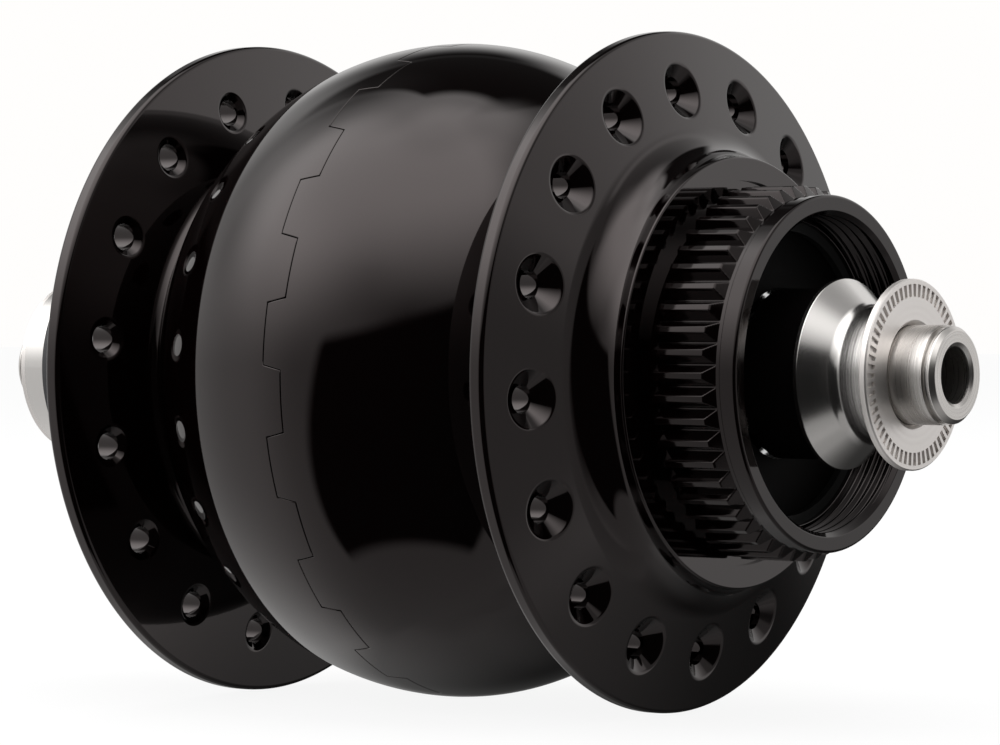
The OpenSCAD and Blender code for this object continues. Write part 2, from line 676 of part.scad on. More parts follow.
// End pieces: the flared cap and the serrated washers that the fork's dropouts clamp.
module end_cap() {
    rim_r = cap_rim_d / 2;
    neck = cap_neck_d / 2;
    color("silver") spin() polygon(outline([
        [thread_seat_r, bearing_at], [sleeve_r, bearing_at], [sleeve_r, cap_rim_at - 2 * cap_rim_w],
        [rim_r, cap_rim_at - cap_rim_w], [rim_r, cap_rim_at], [neck, cap_rim_at + cap_flare_w, cap_fillet],
        [neck, washer_back], [thread_seat_r, washer_back]
    ]));
}
module washer(side) {
    washer_r = washer_d / 2;
    slot_from = serration_d / 2;
    slot_to = washer_r - serration_rim;
    step = lock_face - serration_depth;
    face_bore_r = thread_seat_r + washer_chamfer;
    turned_over = side > 0 ? 0 : 180;
    rotate([turned_over, 0, 0]) {
        tube(washer_r, thread_seat_r, washer_back, step);
        difference() {
            along(step, lock_face) difference() {
                circle(washer_r);
                difference() {
                    intersection() { circle(slot_to); rays(serration_count, serration_w, washer_r); }
                    circle(slot_from);
                }
            }
            spin() polygon([
                [0, step - 1], [thread_seat_r, step - 1], [thread_seat_r, step], [face_bore_r, lock_face],
                [face_bore_r, lock_face + 1], [0, lock_face + 1]
            ]);
        }
    }
}
module washer_disc() { color("silver") washer(1); }
module washer_drive() { color("silver") washer(-1); }
module lock_nut() { color("silver") tube(lock_nut_d / 2, thread_seat_r, -washer_back, -nut_back); }
module seal_sleeve() { color("silver") tube(sleeve_r, shank_seat_r, -block_face, -bearing_at); }

// Terminal block: a ring round the shank with an arm that holds two blades in slots.
module blade(side, gap) {
    translate([-channel_x - block_web - blade_length - gap, -wire_exit_at - blade_w / 2 - gap,
               side * blade_spacing / 2 - blade_h / 2 - gap])
        cube([block_web + blade_length + gap, blade_w + 2 * gap, blade_h + 2 * gap]);
}
module terminal_block() {
    half = block_arm_w / 2;
    slot_w = block_slot_w;
    channel_w = blade_spacing + 2 * wire_side + 1;
    color("black") difference() {
        union() {
            tube(block_ring_d / 2, shank_r - 1, -nut_back, -block_face);
            along(-nut_back, -block_face) polygon(outline([
                [-shank_r, -half], [-block_reach, -half, block_round], [-block_reach, half, block_round],
                [-shank_r, half]
            ]));
        }
        along(-nut_back - 1, 1 - block_face) circle(shank_seat_r);
        for (side = [-1, 1]) {
            translate([-block_reach - 1, -nut_back - 1, side * blade_spacing / 2 - slot_w / 2])
                cube([block_slot_depth + 1, nut_back - block_face + 1 - block_slot_wall, slot_w]);
            blade(side, seat_gap);
        }
        translate([-channel_x, -wire_exit_at - wire_side, -channel_w / 2])
            cube([channel_x - shank_r + 1, 2 * wire_side, channel_w]);
    }
}
module terminal_blades() { color("gold") for (side = [-1, 1]) blade(side, 0); }

axle();
core_sleeve();
pole_plate_disc();
pole_plate_drive();
bobbin();
coil();
stator_nut();
spacer_disc();
spacer_drive();
inner_ring_disc();
inner_ring_drive();
end_cap();
washer_disc();
washer_drive();
lock_nut();
seal_sleeve();
terminal_block();
terminal_blades();
lead_wires();
shell_disc_side();
shell_drive_side();
flux_ring();
magnets();
outer_ring_disc();
outer_ring_drive();
shields_disc();
shields_drive();
seal_disc();
seal_drive();
snap_ring();
cage_disc();
cage_drive();
balls_disc();
balls_drive();
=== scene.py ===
# %% [markdown]
# # A hub dynamo with a gloss-black shell
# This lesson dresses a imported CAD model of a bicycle's front hub dynamo. The CAD part gives every piece
# its place and size. Here the shiny pieces are drawn again as very smooth surfaces, because a gloss-
# black shell is seen almost only by what it reflects, and flat facets would break those reflections up.
# Sizes in this lesson are millimetres. The hub's axle lies along Y, with the disc side at +Y.

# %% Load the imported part
import math
import bpy
import numpy as np
from mathutils import Matrix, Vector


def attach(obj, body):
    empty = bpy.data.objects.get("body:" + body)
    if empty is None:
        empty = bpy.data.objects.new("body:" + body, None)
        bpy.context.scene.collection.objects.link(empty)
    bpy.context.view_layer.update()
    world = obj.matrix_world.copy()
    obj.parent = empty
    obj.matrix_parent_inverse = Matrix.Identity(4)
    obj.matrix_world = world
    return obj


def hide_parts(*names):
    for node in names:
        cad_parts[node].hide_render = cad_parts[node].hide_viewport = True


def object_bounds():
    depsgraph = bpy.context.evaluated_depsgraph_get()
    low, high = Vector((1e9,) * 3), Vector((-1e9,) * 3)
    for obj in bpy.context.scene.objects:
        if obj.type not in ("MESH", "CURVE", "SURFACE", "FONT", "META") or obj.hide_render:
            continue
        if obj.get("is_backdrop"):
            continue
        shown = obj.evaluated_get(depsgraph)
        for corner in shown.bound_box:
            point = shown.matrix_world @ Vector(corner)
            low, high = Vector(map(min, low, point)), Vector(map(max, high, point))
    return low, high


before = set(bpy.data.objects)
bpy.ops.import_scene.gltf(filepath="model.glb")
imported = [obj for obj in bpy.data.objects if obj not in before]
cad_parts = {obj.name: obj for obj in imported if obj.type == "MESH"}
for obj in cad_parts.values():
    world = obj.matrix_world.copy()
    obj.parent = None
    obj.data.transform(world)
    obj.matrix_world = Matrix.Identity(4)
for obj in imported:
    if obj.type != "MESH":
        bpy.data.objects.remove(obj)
cad_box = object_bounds()
MM = 0.001
print("CAD box", cad_box)

# %% [markdown]
# ## Grids
# Every new piece is a set of grids: points worked out from two parameters as whole arrays. Each grid
# carries its own exact normals. Blender could guess normals from the faces, but a mirror-like shell
# shows the smallest wobble, so the formulas give them instead.

# %% A smooth grid


def grid(points, normals):
    """One patch: its points, their normals, and the quads that join each point to its neighbours."""
    rows, columns = points.shape[:2]
    corner = np.arange(rows - 1)[:, None] * columns + np.arange(columns - 1)[None]
    quads = np.stack([corner, corner + 1, corner + columns + 1, corner + columns], -1).reshape(-1, 4)
    return points.reshape(-1, 3), normals.reshape(-1, 3), quads


sample = np.stack([*np.mgrid[0:3, 0:3], np.zeros((3, 3))], -1)
print("three by three points make", len(grid(sample, sample)[2]), "quads")

# %% A grid with flat quads


def facets(points):
    """One patch whose quads share no points. A quad's normal is the cross product of its diagonals."""
    corners = np.stack([points[:-1, :-1], points[:-1, 1:], points[1:, 1:], points[1:, :-1]], 2)
    corners = corners.reshape(-1, 4, 3)
    normal = np.cross(corners[:, 2] - corners[:, 0], corners[:, 3] - corners[:, 1])
    size = np.linalg.norm(normal, axis=1)
    whole = size > 1e-9
    normal = np.repeat((normal[whole] / size[whole, None])[:, None], 4, 1)
    corners = corners[whole]
    return corners.reshape(-1, 3), normal.reshape(-1, 3), np.arange(len(corners) * 4).reshape(-1, 4)


print("as flat quads they become", len(facets(sample)[0]), "points")

# %% Normals measured on a grid


def measured_normals(points, towards):
    """The cross product of a grid's two directions of travel, turned to the side of `towards`."""
    normal = np.cross(np.gradient(points, axis=0), np.gradient(points, axis=1))
    normal /= np.maximum(np.linalg.norm(normal, axis=-1, keepdims=True), 1e-12)
    return normal * np.where((normal * towards).sum(-1, keepdims=True) < 0, -1, 1)


print("a level grid's normal is", measured_normals(sample, np.array([0, 0, 1]))[1, 1])

# %% From patches to a piece


def make_piece(name, patches, finish, body, replaces=()):
    """Joins patches into one mesh. A quad whose corners run against its normals is turned over first."""
    starts = np.cumsum([0] + [len(patch[0]) for patch in patches])
    points = np.concatenate([patch[0] for patch in patches]) * MM
    normals = np.concatenate([patch[1] for patch in patches])
    quads = np.concatenate([patch[2] + start for patch, start in zip(patches, starts)])
    corners = points[quads]
    facing = np.cross(corners[:, 2] - corners[:, 0], corners[:, 3] - corners[:, 1])
    turned = np.einsum("ij,ij->i", facing, normals[quads].mean(1)) < 0
    quads[turned] = quads[turned][:, ::-1]
    quads = quads[np.linalg.norm(facing, axis=1) > 1e-13]
    mesh = bpy.data.meshes.new(name)
    mesh.from_pydata(points.tolist(), [], quads.tolist())
    mesh.polygons.foreach_set("use_smooth", np.ones(len(quads), bool))
    mesh.normals_split_custom_set_from_vertices(normals.tolist())
    mesh.materials.append(finish)
    piece = bpy.data.objects.new(name, mesh)
    bpy.context.scene.collection.objects.link(piece)
    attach(piece, body)
    if replaces:
        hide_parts(*replaces)
    print(name, len(quads), "quads")
    return piece


# %% [markdown]
# ## Profiles
# Most of a hub is turned on a lathe, so a piece is a profile spun round the axle. A profile is a list
# of rows: the radius, the place along the axle, and the normal in that plane. A rounded corner is an
# arc that touches both of its sides. A sharp corner is written twice, once with each side's normal.

# %% Arcs


def arc(centre, radius, start, end, steps, inward=1):
    """Rows along an arc: the centre plus the radius times (cosine, sine), which is also the normal."""
    turn = np.radians(np.linspace(start, end, steps + 1))
    way = np.stack([np.cos(turn), np.sin(turn)], 1)
    return np.concatenate([np.array(centre) + radius * way, inward * way], 1)


print("a quarter turn in 8 steps has", len(arc((0, 0), 1, 0, 90, 8)), "rows")

# %% Outlines with rounded corners


def outline(rows, steps=8, side=1):
    """Rows of radius, place and corner radius become a profile that faces right as it travels, or left."""
    spots = np.array([row[:2] for row in rows], float)
    rounds = [row[2] if len(row) > 2 else 0 for row in rows]
    travel = np.diff(spots, axis=0)
    travel /= np.linalg.norm(travel, axis=1)[:, None]
    facing = side * np.stack([travel[:, 1], -travel[:, 0]], 1)
    profile = [np.r_[spots[0], facing[0]][None]]
    for k in range(1, len(rows) - 1):
        spot, back, ahead, radius = spots[k], -travel[k - 1], travel[k], rounds[k]
        if radius == 0:
            profile.append(np.array([np.r_[spot, facing[k - 1]], np.r_[spot, facing[k]]]))
            continue
        half = math.acos(np.clip(back @ ahead, -1, 1)) / 2
        centre = spot + (back + ahead) / np.linalg.norm(back + ahead) * radius / math.sin(half)
        first = spot + back * radius / math.tan(half) - centre
        last = spot + ahead * radius / math.tan(half) - centre
        start = math.degrees(math.atan2(first[1], first[0]))
        swing = (math.degrees(math.atan2(last[1], last[0])) - start + 180) % 360 - 180
        inward = 1 if first @ facing[k - 1] > 0 else -1
        profile.append(arc(centre, radius, start, start + swing, steps, inward))
    profile.append(np.r_[spots[-1], facing[-1]][None])
    return np.vstack(profile)


print("a square corner has", len(outline([(1, 0), (1, 1), (2, 1)])), "rows")

# %% The lathe
FULL_TURN = np.radians(np.linspace(0, 360, 385))


def round_axle(radius, place, angle):
    """Points at an angle round the axle: x is radius times cosine, y the place, z radius times sine."""
    radius, place, angle = np.broadcast_arrays(radius, place, angle)
    return np.stack([radius * np.cos(angle), place, radius * np.sin(angle)], -1)


def lathe(profile):
    """Each row of the profile is carried round the axle, and its normal turns with it."""
    rows = profile[:, :, None]
    return grid(round_axle(rows[:, 0], rows[:, 1], FULL_TURN), round_axle(rows[:, 2], rows[:, 3], FULL_TURN))


def mirrored(patch):
    """The same patch on the other side of the hub: the place along the axle and its normal change sign."""
    flip = np.array([1, -1, 1])
    return patch[0] * flip, patch[1] * flip, patch[2]


print("a full turn has", len(FULL_TURN) - 1, "steps")

# %% [markdown]
# ## Finishes
# The shell is aluminium with a deep gloss-black coat. Its own colour is almost nothing, so a smooth
# Principled surface with an index a little over 1.5 gives the right picture: about 4 percent reflection
# face on and a bright edge. The steel pieces are turned. A cutting tool leaves fine rings, which spread
# a highlight along the axle, so their bump runs with the place along the axle plus the radius, a sum
# that changes along every turned surface. The spline and the lip have the same coat with a lower index,
# because they look darker.

# %% Helpers for nodes


def new_group(name, inputs, outputs):
    """A shader node group with named inputs and their first values, and named outputs of a kind."""
    group = bpy.data.node_groups.new(name, "ShaderNodeTree")
    for label, value in inputs.items():
        socket = group.interface.new_socket(label, in_out="INPUT", socket_type="NodeSocketFloat")
        socket.default_value = value
    for label, kind in outputs.items():
        group.interface.new_socket(label, in_out="OUTPUT", socket_type=kind)
    return group, group.nodes.new("NodeGroupInput"), group.nodes.new("NodeGroupOutput")


def math_node(tree, operation, *values):
    """A math node. Each value is a number or another node's output."""
    node = tree.nodes.new("ShaderNodeMath")
    node.operation = operation
    for socket, value in zip(node.inputs, values):
        if isinstance(value, (int, float)):
            socket.default_value = value
        else:
            tree.links.new(value, socket)
    return node.outputs[0]


print("helpers:", new_group.__name__, "and", math_node.__name__)

# %% What rings and grain have in common
SURFACE_INPUTS = {"Per Metre": 2000.0, "Depth": 0.00001, "Roughness": 0.3, "Spread": 0.1}
SURFACE_OUTPUTS = {"Roughness": "NodeSocketFloat", "Normal": "NodeSocketVector"}


def put_out(tree, inside, outside, noise):
    """Noise becomes a bump of the group's Depth, and moves its Roughness up and down by half its Spread."""
    bump = tree.nodes.new("ShaderNodeBump")
    bump.inputs["Strength"].default_value = 1.0
    tree.links.new(inside.outputs["Depth"], bump.inputs["Distance"])
    tree.links.new(noise, bump.inputs["Height"])
    centred = math_node(tree, "SUBTRACT", noise, 0.5)
    spread = math_node(tree, "MULTIPLY", centred, inside.outputs["Spread"])
    roughness = math_node(tree, "ADD", inside.outputs["Roughness"], spread)
    tree.links.new(roughness, outside.inputs["Roughness"])
    tree.links.new(bump.outputs["Normal"], outside.inputs["Normal"])


print("each effect has the inputs", ", ".join(SURFACE_INPUTS))

# %% Turned rings


def turned_rings():
    """Rings on a turned surface: one-dimensional noise of the place along the axle plus the radius."""
    tree, inside, outside = new_group("turned_rings", SURFACE_INPUTS, SURFACE_OUTPUTS)
    place = tree.nodes.new("ShaderNodeTexCoord")
    parts = tree.nodes.new("ShaderNodeSeparateXYZ")
    tree.links.new(place.outputs["Object"], parts.inputs[0])
    x, y, z = parts.outputs
    squares = math_node(tree, "ADD", math_node(tree, "MULTIPLY", x, x), math_node(tree, "MULTIPLY", z, z))
    radius = math_node(tree, "SQRT", squares)
    along = math_node(tree, "MULTIPLY", math_node(tree, "ADD", y, radius), inside.outputs["Per Metre"])
    noise = tree.nodes.new("ShaderNodeTexNoise")
    noise.noise_dimensions = "1D"
    noise.inputs["Scale"].default_value = 1.0
    noise.inputs["Detail"].default_value = 3.0
    tree.links.new(along, noise.inputs["W"])
    put_out(tree, inside, outside, noise.outputs["Fac"])
    return tree


RINGS = turned_rings()
print("node group", RINGS.name)

# %% Fine grain


def fine_grain():
    """Grain of a moulded, cast or coated surface: three-dimensional noise of the place in space."""
    tree, inside, outside = new_group("fine_grain", SURFACE_INPUTS, SURFACE_OUTPUTS)
    place = tree.nodes.new("ShaderNodeTexCoord")
    noise = tree.nodes.new("ShaderNodeTexNoise")
    noise.inputs["Detail"].default_value = 4.0
    tree.links.new(place.outputs["Object"], noise.inputs["Vector"])
    tree.links.new(inside.outputs["Per Metre"], noise.inputs["Scale"])
    put_out(tree, inside, outside, noise.outputs["Fac"])
    return tree


GRAIN = fine_grain()
print("node group", GRAIN.name)

# %% Materials
BLACK_COAT = (0.0006, 0.0002, 0.0002)
WARM_GLOSS = (1, 0.89, 0.885)


def finish(name, colour, metallic, roughness, effect, per_metre, depth, spread=0.1, ior=1.5, tint=(1, 1, 1)):
    """One material: constants on a Principled surface, with roughness and normal from a shared effect."""
    material = bpy.data.materials.new(name)
    material.use_nodes = True
    tree = material.node_tree
    surface = tree.nodes["Principled BSDF"]
    surface.inputs["Base Color"].default_value = (*colour, 1)
    surface.inputs["Metallic"].default_value = metallic
    surface.inputs["IOR"].default_value = ior
    surface.inputs["Specular Tint"].default_value = (*tint, 1)
    node = tree.nodes.new("ShaderNodeGroup")
    node.node_tree = effect
    values = {"Per Metre": per_metre, "Depth": depth, "Roughness": roughness, "Spread": spread}
    for label, value in values.items():
        node.inputs[label].default_value = value
    tree.links.new(node.outputs["Roughness"], surface.inputs["Roughness"])
    tree.links.new(node.outputs["Normal"], surface.inputs["Normal"])
    return material


gloss_black = finish("gloss_black", BLACK_COAT, 0, 0.035, GRAIN, 900, 0.0000004, 0.02, 1.525, WARM_GLOSS)
spline_black = finish("spline_black", BLACK_COAT, 0, 0.05, GRAIN, 900, 0.0000004, 0.02, 1.4, WARM_GLOSS)
cap_steel = finish("cap_steel", (0.63, 0.615, 0.6), 1, 0.2, RINGS, 5200, 0.000004)
washer_steel = finish("washer_steel", (0.78, 0.75, 0.73), 1, 0.42, RINGS, 3000, 0.000003, 0.12)
axle_steel = finish("axle_steel", (0.6, 0.58, 0.56), 1, 0.28, RINGS, 3600, 0.00001, 0.12)
plain_steel = finish("plain_steel", (0.55, 0.545, 0.54), 1, 0.32, RINGS, 3000, 0.000004)
ground_steel = finish("ground_steel", (0.72, 0.725, 0.73), 1, 0.12, RINGS, 6000, 0.000001, 0.05)
# The snap ring lies deep in the bore, in shade. Its finish is painted shade: near-black and not metallic, so
# it shows no highlight.
spring_steel = finish("spring_steel", (0.008, 0.008, 0.008), 0, 0.5, GRAIN, 2500, 0.000002, ior=1.2)
cage_steel = finish("cage_steel", (0.5, 0.45, 0.36), 1, 0.35, GRAIN, 2500, 0.000003)
bare_iron = finish("bare_iron", (0.22, 0.22, 0.23), 1, 0.5, GRAIN, 2500, 0.00001)
sheet_steel = finish("sheet_steel", (0.45, 0.45, 0.46), 1, 0.4, GRAIN, 2500, 0.000005)
magnet = finish("magnet", (0.1, 0.1, 0.11), 0.6, 0.5, GRAIN, 3500, 0.00001)
copper = finish("copper", (0.6, 0.28, 0.12), 1, 0.3, RINGS, 2500, 0.00008)
bobbin = finish("bobbin", (0.75, 0.72, 0.62), 0, 0.45, GRAIN, 1500, 0.000005)
red_cover = finish("red_cover", (0.42, 0.05, 0.04), 0, 0.4, GRAIN, 1500, 0.000004)
black_plastic = finish("black_plastic", (0.022, 0.022, 0.024), 0, 0.42, GRAIN, 2200, 0.00001)
# Black rubber for the seals and shields, made darker still and given a low index so it barely reflects:
# partly the rubber's own black, partly painted shade for the deep bore. The cap's sleeve has this finish
# too.
black_rubber_and_painted_shade = finish("black_rubber_and_painted_shade", (0.0015, 0.0012, 0.0012), 0, 0.5, GRAIN, 1800, 0.000006, ior=1.1)
brass = finish("brass", (0.72, 0.55, 0.26), 1, 0.28, GRAIN, 2000, 0.000003)
print(len(bpy.data.materials), "materials so far")

# %% A finish for every node of the CAD part
node_finish = {
    "axle": axle_steel, "core_sleeve": bare_iron, "pole_plate_disc": sheet_steel,
    "pole_plate_drive": sheet_steel, "bobbin": bobbin, "coil": copper, "stator_nut": plain_steel,
    "spacer_disc": plain_steel, "spacer_drive": plain_steel, "inner_ring_disc": ground_steel,
    "inner_ring_drive": ground_steel, "end_cap": cap_steel, "washer_disc": washer_steel,
    "washer_drive": washer_steel, "lock_nut": cap_steel, "seal_sleeve": plain_steel,
    "terminal_block": black_plastic, "terminal_blades": brass, "lead_wires": red_cover,
    "shell_disc_side": gloss_black, "shell_drive_side": gloss_black, "flux_ring": bare_iron,
    "magnets": magnet, "outer_ring_disc": ground_steel, "outer_ring_drive": ground_steel,
    "shields_disc": black_rubber_and_painted_shade, "shields_drive": black_rubber_and_painted_shade, "seal_disc": black_rubber_and_painted_shade,
    "seal_drive": black_rubber_and_painted_shade, "snap_ring": spring_steel, "cage_disc": cage_steel,
    "cage_drive": cage_steel, "balls_disc": ground_steel, "balls_drive": ground_steel,
}
for node, material in node_finish.items():
    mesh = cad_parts[node].data
    mesh.materials.clear()
    mesh.materials.append(material)
print(len(node_finish), "nodes have a finish")

# %% [markdown]
# ## The barrel and its castellated joint
# The shell's two halves meet on the barrel. Each half ends in sixteen keys, cut with sides that lean a
# little, so the joint is a square wave round the crown. A modifier could cut it, but it would leave
# long thin faces across the crown. Here each row of the grid follows the wave at the joint and fades to
# a straight line further on, and every point lies exactly on the crown's arc. The arc of the disc side
# is a little tighter than that of the drive side, and both run down to the necks.

# %% Sizes of the barrel
CROWN_AT, DISC_CROWN_R, DRIVE_CROWN_R, BARREL_R, NECK_R = 0.3, 24.0, 27.0, 31.5, 20.5
HOLES, SPOKE_TURN = 16, 4.5
PITCH = 360 / HOLES
KEY_LOW, KEY_DEPTH, KEY_FOOT, KEY_TOP = 0.15, 1.95, 6.05, 5.2
KEY_GAP, KEY_ROUND, KEY_WALL = 0.03, 0.07, 1.0
DISC_BAND_AT, DRIVE_BAND_AT = 3.4, -2.4


def crown_radius(place, crown_r):
    """The radius at the arc's centre plus the root of the arc's radius squared less the offset squared."""
    return BARREL_R - crown_r + np.sqrt(crown_r ** 2 - (place - CROWN_AT) ** 2)


print("the crown has radius", crown_radius(CROWN_AT, DISC_CROWN_R), "at its middle")

# %% The joint's square wave
SIDE_STRETCH = 1.03
KEY_KNOTS = np.array([-PITCH / 2, -KEY_FOOT, -KEY_TOP, KEY_TOP, KEY_FOOT, PITCH / 2])
WAVE_STEPS = (7, 5, 13, 5, 7)


def key_wave(half, inset):
    """Angle and place along one key, with its sides and ends moved inwards by the inset."""
    runs = [np.linspace(a, b, n) for a, b, n in zip(KEY_KNOTS[:-1], KEY_KNOTS[1:], WAVE_STEPS)]
    base = np.unique(np.concatenate(runs))
    shift = half * inset * math.degrees(SIDE_STRETCH / BARREL_R)
    offset = np.interp(base, KEY_KNOTS, KEY_KNOTS + shift * np.array([0, -1, -1, 1, 1, 0]))
    height = np.clip((KEY_FOOT + shift - abs(offset)) / (KEY_FOOT - KEY_TOP), 0, 1)
    return offset, KEY_LOW + half * inset + KEY_DEPTH * height


print("a key is", 2 * KEY_TOP, "degrees wide at its top")

# %% The band next to the joint


def keyed_band(half, straight_at, crown_r):
    """The crown from the joint's wave to a straight line. The half at +Y has half = 1, the other -1."""
    rows = []
    for inset, depth in ((KEY_GAP, KEY_WALL), (KEY_GAP, KEY_ROUND),
                         (KEY_GAP + 0.3 * KEY_ROUND, 0.3 * KEY_ROUND), (KEY_GAP + KEY_ROUND, 0)):
        rows.append((*key_wave(half, inset), depth))
    offset, edge = rows[-1][:2]
    for share in (0.03, 0.12, 0.3, 0.6, 1):
        rows.append((offset, edge + (straight_at - edge) * share, 0))
    angle = np.radians(np.array([row[0] for row in rows]))
    place = np.array([row[1] for row in rows])
    depth = np.array([row[2] for row in rows])[:, None]
    radius = crown_radius(place, crown_r)
    up = np.stack([(radius - BARREL_R + crown_r) / crown_r, (place - CROWN_AT) / crown_r], -1)
    wall = np.stack([-np.gradient(place[0]), np.gradient(angle[0] * BARREL_R)], -1)
    wall *= -half / np.linalg.norm(wall, axis=-1, keepdims=True)
    lean = np.array([1, 0.85, 0.4, 0, 0, 0, 0, 0, 0])[:, None, None]
    patches = []
    for k in range(HOLES):
        turn = angle + math.radians(k * PITCH - SPOKE_TURN)
        outward = round_axle(up[..., 0], up[..., 1], turn)
        along = np.broadcast_to(wall[:, 1], turn.shape)
        sideways = np.stack([-np.sin(turn) * wall[:, 0], along, np.cos(turn) * wall[:, 0]], -1)
        normal = outward * (1 - lean) + sideways * lean
        normal /= np.linalg.norm(normal, axis=-1, keepdims=True)
        patches.append(grid(round_axle(radius - depth, place, turn), normal))
    return patches


print("the bands end at", DRIVE_BAND_AT, "and", DISC_BAND_AT)

# %% The rest of the crown


def crown_arc(first_offset, crown_r):
    """The crown's arc from an offset from its middle down to the neck, drawn towards +Y."""
    start = math.degrees(math.asin(first_offset / crown_r))
    end = math.degrees(math.acos((NECK_R - BARREL_R + crown_r) / crown_r))
    return arc((BARREL_R - crown_r, 0), crown_r, start, end, 36)


print("the crown's arcs have radii", DISC_CROWN_R, "and", DRIVE_CROWN_R)

# %% [markdown]
# ## Flanges with countersunk spoke holes
# A flange is a thin disc with a sloping face and sixteen spoke holes, each with a countersink at both
# ends. The countersinks are cut square to the sloping face. A boolean cut would spoil the smooth face,
# so the face is drawn as sixteen sectors, each a grid that runs from the hole's rim out to the sector's
# edge.

# %% Sizes of the flanges
SPOKE_R, HOLE_R, OUTER_SINK_R, INNER_SINK_R, SINK_SLOPE = 26.25, 1.3, 2.7, 1.95, 1.217
INNER_SLOPE, OUTER_SLOPE = math.tan(math.radians(9)), math.tan(math.radians(15))
RIM_W, RIM_ROUND = 1.5, 0.5
HOLED_FROM_R, HOLED_TO_R = 23.0, 30.2
BRIM_W, BRIM_DEPTH, BRIM_END = 0.2, 0.05, 0.16


def sector_edge(low_r, high_r):
    """Points round a sector's edge, out along one side and back along the other, as radius and angle."""
    half = math.radians(PITCH / 2)
    across, out = np.linspace(-half, half, 25), np.linspace(low_r, high_r, 13)
    radius = np.concatenate([np.full(24, low_r), out[:-1], np.full(24, high_r), out[::-1]])
    angle = np.concatenate([across[:-1], np.full(12, half), across[::-1][:-1], np.full(13, -half)])
    return radius, angle


print("a sector's edge has", len(sector_edge(HOLED_FROM_R, HOLED_TO_R)[0]), "points")

# %% Where a countersink ends


def sink_depths(cone, deepest):
    """Halves the range of depths thirty times, to find where the cone is as wide as the hole."""
    low, high = np.zeros_like(deepest), deepest
    for _ in range(30):
        middle = (low + high) / 2
        spot = cone(middle)
        wide = np.hypot(spot[:, 0] - SPOKE_R, spot[:, 2]) > HOLE_R
        low, high = np.where(wide, middle, low), np.where(wide, high, middle)
    return (low + high) / 2


print("countersink slope", round(SINK_SLOPE, 2))

# %% A face with sixteen holes


def holed_face(low_r, high_r, rim_r, rim_at, slope, facing, middle_at, turn, sink_r):
    """A conical face with holes. Its place is rim_at plus slope times the distance in from the rim."""
    def face(radius):
        return rim_at + slope * (rim_r - radius)

    up = facing * np.array([slope, 1]) / math.hypot(slope, 1)
    run = np.array([1, -slope]) / math.hypot(slope, 1)
    radius, angle = sector_edge(low_r, high_r)
    edge = np.stack([radius * np.cos(angle), radius * np.sin(angle)], -1)
    way = np.arctan2(edge[:, 1], (edge[:, 0] - SPOKE_R) / run[0])
    mouth_r = sink_r + BRIM_W
    mouth = np.stack([SPOKE_R + mouth_r * np.cos(way) * run[0], mouth_r * np.sin(way)], -1)
    share = np.array([1, 0.7, 0.4, 0.15, 0])[:, None, None]
    flat = mouth + (edge - mouth) * share
    flat_r, flat_turn = np.hypot(flat[..., 0], flat[..., 1]), np.arctan2(flat[..., 1], flat[..., 0])
    face_points = np.stack([flat[..., 0], face(flat_r), flat[..., 1]], -1)
    face_normals = round_axle(up[0], up[1], flat_turn)

    def cone(depth):
        reach = sink_r - SINK_SLOPE * depth
        out = reach * np.cos(way)
        return np.stack([SPOKE_R + out * run[0] - depth * up[0],
                         face(SPOKE_R) + out * run[1] - depth * up[1], reach * np.sin(way)], -1)

    ends = sink_depths(cone, np.full_like(way, sink_r / SINK_SLOPE))
    tilt = 1 / math.hypot(1, SINK_SLOPE)
    cone_normal = tilt * np.stack([-np.cos(way) * run[0] + up[0] * SINK_SLOPE,
                                   -np.cos(way) * run[1] + up[1] * SINK_SLOPE, -np.sin(way)], -1)
    between = face_normals[-1] + cone_normal
    between /= np.linalg.norm(between, axis=-1, keepdims=True)
    brim = cone(np.full_like(way, BRIM_DEPTH))
    brim[:, [0, 2]] += 0.25 * (mouth - brim[:, [0, 2]])
    rows = [brim] + [cone(BRIM_END + (ends - BRIM_END) * share) for share in (0, 0.5, 1)]
    sink = np.concatenate([face_points, np.array(rows)])
    sink_normals = np.concatenate([face_normals, between[None], np.repeat(cone_normal[None], 3, 0)])
    last = rows[-1]
    round_hole = np.arctan2(last[:, 2], last[:, 0] - SPOKE_R)
    wall = np.stack([last, np.stack([last[:, 0], np.full_like(way, middle_at), last[:, 2]], -1)])
    hole_normal = np.stack([-np.cos(round_hole), 0 * way, -np.sin(round_hole)], -1)
    wall_normals = np.repeat(hole_normal[None], 2, 0)
    patches = []
    for k in range(HOLES):
        a = math.radians(k * PITCH - turn)
        spin = np.array([[math.cos(a), 0, math.sin(a)], [0, 1, 0], [-math.sin(a), 0, math.cos(a)]])
        patches += [grid(sink @ spin, sink_normals @ spin), grid(wall @ spin, wall_normals @ spin)]
    return patches


print("each face has", HOLES, "holes")

# %% A whole flange


def flange(rim_r, rim_at, neck, fillet, turn, end_r):
    """A flange with its neck: from the neck up to the inner face, two holed faces, and the rim's edge."""
    def inner(radius):
        return rim_at - INNER_SLOPE * (rim_r - radius)

    def outer(radius):
        return rim_at + RIM_W + OUTER_SLOPE * (rim_r - radius)

    middle = (inner(SPOKE_R) + outer(SPOKE_R)) / 2
    foot = outline([neck, (NECK_R, inner(NECK_R), fillet), (HOLED_FROM_R, inner(HOLED_FROM_R))], 12)
    rim = outline([(HOLED_TO_R, inner(HOLED_TO_R)), (rim_r, rim_at, RIM_ROUND),
                   (rim_r, rim_at + RIM_W, RIM_ROUND), (HOLED_TO_R, outer(HOLED_TO_R))], 8)
    patches = [lathe(foot), lathe(rim)]
    patches += holed_face(HOLED_FROM_R, HOLED_TO_R, rim_r, rim_at, -INNER_SLOPE, -1, middle, turn,
                          INNER_SINK_R)
    patches += holed_face(end_r, HOLED_TO_R, rim_r, rim_at + RIM_W, OUTER_SLOPE, 1, middle, turn,
                          OUTER_SINK_R)
    return patches, outer


